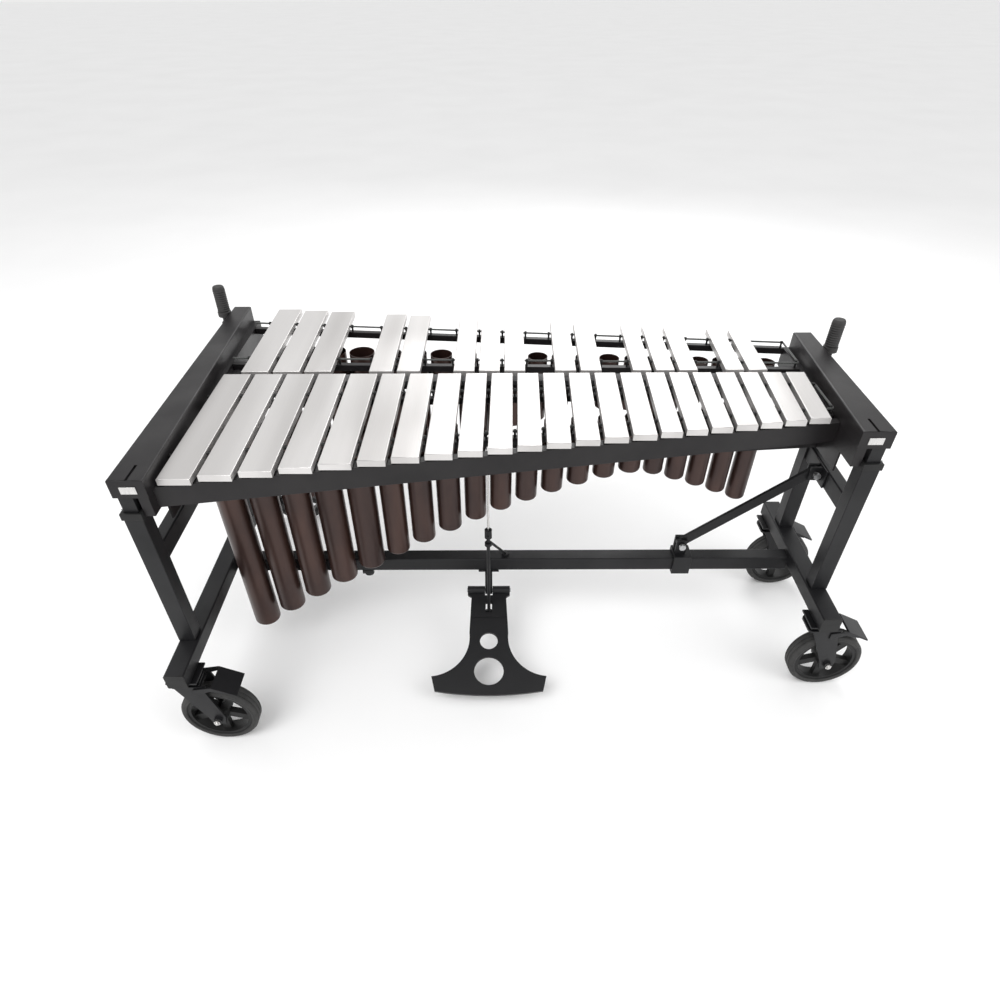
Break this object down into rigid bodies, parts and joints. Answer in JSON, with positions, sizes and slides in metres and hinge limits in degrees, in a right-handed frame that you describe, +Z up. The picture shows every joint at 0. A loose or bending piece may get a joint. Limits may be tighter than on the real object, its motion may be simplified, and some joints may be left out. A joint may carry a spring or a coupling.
{
  "type": "vibraphone",
  "caption": "Rolling vibraphone with two rows of metal bars over tube resonators, a damper pedal, height-adjustable posts and swivel casters.",
  "frame": {"origin": "bottom centre of the whole instrument's bounding box, on the floor under the wheels", "axes": "+X from the bass end to the treble end, +Y away from the player, +Z up"},
  "size_m": [1.517, 0.8856, 0.691],
  "materials": {
    "black_paint": "satin black powder coat with fine grain",
    "board_black": "satin black painted light alloy",
    "bar_silver": "matt silver anodised, fine grain along the bar",
    "tube_bronze": "dark bronze brown satin lacquer",
    "bright_metal": "plain satin metal",
    "zinc_steel": "zinc plated",
    "black_plastic": "fine moulded texture",
    "grip_rubber": "ribbed soft rubber",
    "tyre": "solid rubber tyre",
    "felt": "dense black felt",
    "cord": "braided dark cord"
  },
  "bodies": {
    "frame": {"pedal_hanger": "black_paint", "pedal_pin": "zinc_steel", "rod_guide": "black_paint", "post_sleeve_front_left": "black_paint", "post_sleeve_rear_left": "black_paint", "post_sleeve_front_right": "black_paint", "post_sleeve_rear_right": "black_paint", "post_collars": "black_plastic", "base_rail_left": "black_paint", "base_rail_right": "black_paint", "rail_end_caps": "black_plastic", "side_tube_left": "black_paint", "side_tube_right": "black_paint", "crossbar": "black_paint", "crossbar_lock": "black_plastic", "brace_clamp": "black_paint", "diagonal_brace": "black_paint", "brace_bracket": "black_paint", "frame_screws": "zinc_steel", "caster_plates": "black_paint"},
    "keyboard": {"natural_bars": "bar_silver", "accidental_bars": "bar_silver", "natural_cord": "cord", "accidental_cord": "cord", "cord_posts": "black_plastic", "end_board_left": "board_black", "end_board_right": "board_black", "front_rail": "board_black", "node_rails": "board_black", "front_plates": "bright_metal", "inner_posts": "black_paint", "handle_stems": "black_paint", "handle_grips": "grip_rubber", "natural_resonators": "tube_bronze", "accidental_resonators": "tube_bronze", "resonator_strips": "board_black", "damper_guides": "black_paint"},
    "damper": {"damper_felt": "felt", "damper_bar": "board_black", "damper_arm": "black_paint", "pull_rod": "bright_metal"},
    "pull_link": {"pull_tube": "black_paint", "rod_clamp": "black_paint"},
    "pedal": {"pedal_board": "black_paint"},
    "caster_front_left": {"caster_fork_front_left": "black_paint"},
    "wheel_front_left": {"caster_tyre_front_left": "tyre", "caster_hub_front_left": "black_plastic"},
    "brake_front_left": {"caster_brake_front_left": "black_paint"},
    "caster_rear_left": {"caster_fork_rear_left": "black_paint"},
    "wheel_rear_left": {"caster_tyre_rear_left": "tyre", "caster_hub_rear_left": "black_plastic"},
    "brake_rear_left": {"caster_brake_rear_left": "black_paint"},
    "caster_front_right": {"caster_fork_front_right": "black_paint"},
    "wheel_front_right": {"caster_tyre_front_right": "tyre", "caster_hub_front_right": "black_plastic"},
    "brake_front_right": {"caster_brake_front_right": "black_paint"},
    "caster_rear_right": {"caster_fork_rear_right": "black_paint"},
    "wheel_rear_right": {"caster_tyre_rear_right": "tyre", "caster_hub_rear_right": "black_plastic"},
    "brake_rear_right": {"caster_brake_rear_right": "black_paint"}
  },
  "joints": [
    {"name": "height_adjust", "type": "slide", "parent": "frame", "child": "keyboard", "axis": [0, 0, 1], "range_m": [0, 0.12]},
    {"name": "pedal_pivot", "type": "hinge", "parent": "frame", "child": "pedal", "pos_m": [-0.08961, -0.08777, 0.131], "axis": [1, 0, 0], "range_deg": [0, 6], "stiffness_Nm_per_rad": 60, "springref_deg": -6.88},
    {"name": "pull_slide", "type": "slide", "parent": "frame", "child": "pull_link", "axis": [0, 0, -1], "range_m": [0, 0.00415]},
    {"name": "damper_slide", "type": "slide", "parent": "keyboard", "child": "damper", "axis": [0, 0, -1], "range_m": [0, 0.00415], "stiffness_N_per_m": 3000, "springref_m": -0.012},
    {"name": "swivel_front_left", "type": "hinge", "parent": "frame", "child": "caster_front_left", "pos_m": [-0.7035, -0.40277, 0.1874], "axis": [0, 0, 1], "continuous": true},
    {"name": "roll_front_left", "type": "hinge", "parent": "caster_front_left", "child": "wheel_front_left", "pos_m": [-0.6615, -0.40277, 0.08], "axis": [0, 1, 0], "continuous": true},
    {"name": "brake_pedal_front_left", "type": "hinge", "parent": "caster_front_left", "child": "brake_front_left", "pos_m": [-0.6775, -0.40277, 0.1734], "axis": [0, 1, 0], "range_deg": [0, 16]},
    {"name": "swivel_rear_left", "type": "hinge", "parent": "frame", "child": "caster_rear_left", "pos_m": [-0.7035, 0.37923, 0.1874], "axis": [0, 0, 1], "continuous": true},
    {"name": "roll_rear_left", "type": "hinge", "parent": "caster_rear_left", "child": "wheel_rear_left", "pos_m": [-0.6615, 0.37923, 0.08], "axis": [0, 1, 0], "continuous": true},
    {"name": "brake_pedal_rear_left", "type": "hinge", "parent": "caster_rear_left", "child": "brake_rear_left", "pos_m": [-0.6775, 0.37923, 0.1734], "axis": [0, 1, 0], "range_deg": [0, 16]},
    {"name": "swivel_front_right", "type": "hinge", "parent": "frame", "child": "caster_front_right", "pos_m": [0.6365, -0.25577, 0.1874], "axis": [0, 0, 1], "continuous": true},
    {"name": "roll_front_right", "type": "hinge", "parent": "caster_front_right", "child": "wheel_front_right", "pos_m": [0.6785, -0.25577, 0.08], "axis": [0, 1, 0], "continuous": true},
    {"name": "brake_pedal_front_right", "type": "hinge", "parent": "caster_front_right", "child": "brake_front_right", "pos_m": [0.6625, -0.25577, 0.1734], "axis": [0, 1, 0], "range_deg": [0, 16]},
    {"name": "swivel_rear_right", "type": "hinge", "parent": "frame", "child": "caster_rear_right", "pos_m": [0.6365, 0.08923, 0.1874], "axis": [0, 0, 1], "continuous": true},
    {"name": "roll_rear_right", "type": "hinge", "parent": "caster_rear_right", "child": "wheel_rear_right", "pos_m": [0.6785, 0.08923, 0.08], "axis": [0, 1, 0], "continuous": true},
    {"name": "brake_pedal_rear_right", "type": "hinge", "parent": "caster_rear_right", "child": "brake_rear_right", "pos_m": [0.6625, 0.08923, 0.1734], "axis": [0, 1, 0], "range_deg": [0, 16]}
  ],
  "couplings": [
    {"joint": "pull_slide", "follows": "pedal_pivot", "m_per_rad": 0.039165},
    {"joint": "damper_slide", "follows": "pedal_pivot", "m_per_rad": 0.039165}
  ]
}
